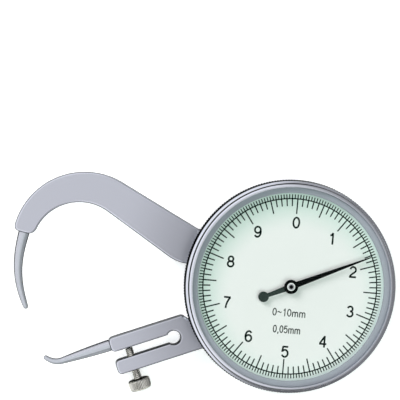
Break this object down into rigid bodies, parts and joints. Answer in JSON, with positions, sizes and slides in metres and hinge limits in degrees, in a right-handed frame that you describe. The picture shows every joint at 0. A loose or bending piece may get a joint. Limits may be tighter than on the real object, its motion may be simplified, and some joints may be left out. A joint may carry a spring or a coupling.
{
  "type": "dial thickness gauge",
  "caption": "Dial thickness gauge with a round knurled bezel, a pale dial and pointer, a curved swinging arm and a slotted fixed arm with bent measuring tips and a thumb screw.",
  "frame": {"origin": "on the dial's axis, at the outer face of the rear cover", "axes": "+Z out of the dial, +X away from the arms, +Y towards the curved arm's side"},
  "size_m": [0.0888, 0.0516, 0.0137],
  "materials": {
    "case_metal": "satin turned and anodised",
    "cover_metal": "satin turned",
    "arm_steel": "satin, fine matt blast with bright bevels",
    "tip_steel": "ground and polished",
    "bezel_chrome": "satin chrome plate",
    "crystal_clear": "clear, polished",
    "gasket_plastic": "matt",
    "dial_paint": "pale mint, semi matt",
    "pointer_black": "black, semi matt",
    "hub_silver": "polished",
    "thumb_screw_nickel": "nickel plated, knurled",
    "brass": "milled",
    "spring_steel": "drawn wire and strip",
    "screw_steel": "bright steel"
  },
  "bodies": {
    "case": {"housing": "case_metal", "rear_cover": "cover_metal", "rear_cover_screws": "screw_steel", "fixed_arm": "arm_steel", "fixed_tip": "tip_steel", "fixed_arm_screws": "screw_steel", "movement_bridge": "brass", "bridge_pillars": "screw_steel", "bridge_screws": "screw_steel", "front_bushes": "brass", "rear_bushes": "brass", "pivot_pin": "screw_steel", "pivot_clip": "screw_steel", "stop_pin": "screw_steel", "spring_post": "screw_steel", "return_spring": "spring_steel", "hairspring": "spring_steel", "hairspring_stud": "screw_steel", "bezel_spring_ring": "spring_steel"},
    "bezel_assembly": {"bezel": "bezel_chrome", "crystal": "crystal_clear", "crystal_gasket": "gasket_plastic", "dial_plate": "dial_paint", "dial_clamp_ring": "screw_steel"},
    "measuring_arm": {"moving_arm": "arm_steel", "moving_tip": "tip_steel", "arm_bush": "brass", "sector_gear": "brass", "sector_rivets": "screw_steel", "spring_pin": "screw_steel"},
    "intermediate_arbor": {"intermediate_pinion": "screw_steel", "intermediate_wheel": "brass"},
    "pointer_arbor": {"centre_pinion": "screw_steel", "pointer": "pointer_black", "pointer_hub": "hub_silver", "hairspring_collet": "brass"},
    "screw_carrier": {"screw_ball": "screw_steel"},
    "thumb_screw": {"adjusting_screw": "thumb_screw_nickel"}
  },
  "joints": [
    {"name": "arm_swing", "type": "hinge", "parent": "case", "child": "measuring_arm", "pos_m": [-0.00538, 0.00897, 0.0045], "axis": [0, 0, 1], "range_deg": [0, 11.76], "stiffness_Nm_per_rad": 0.06, "springref_deg": -20.05, "deforming": ["return_spring"]},
    {"name": "intermediate_spin", "type": "hinge", "parent": "case", "child": "intermediate_arbor", "pos_m": [0.00892, 0.00555, 0.006], "axis": [0, 0, 1], "range_deg": [-72, 0]},
    {"name": "pointer_spin", "type": "hinge", "parent": "case", "child": "pointer_arbor", "pos_m": [0, 0, 0.006], "axis": [0, 0, 1], "range_deg": [0, 426], "deforming": ["hairspring"]},
    {"name": "bezel_turn", "type": "hinge", "parent": "case", "child": "bezel_assembly", "pos_m": [0, 0, 0.009], "axis": [0, 0, 1], "continuous": true},
    {"name": "screw_advance", "type": "slide", "parent": "case", "child": "screw_carrier", "axis": [0.2982, -0.9545, 0], "range_m": [0, 0.0008]},
    {"name": "screw_turn", "type": "hinge", "parent": "screw_carrier", "child": "thumb_screw", "pos_m": [-0.03707, -0.01516, 0.0045], "axis": [0.2982, -0.9545, 0], "range_deg": [0, 725]}
  ],
  "couplings": [
    {"joint": "intermediate_spin", "follows": "arm_swing", "ratio": -6},
    {"joint": "pointer_spin", "follows": "arm_swing", "ratio": 36},
    {"joint": "screw_turn", "follows": "screw_advance", "rad_per_m": 15708}
  ]
}
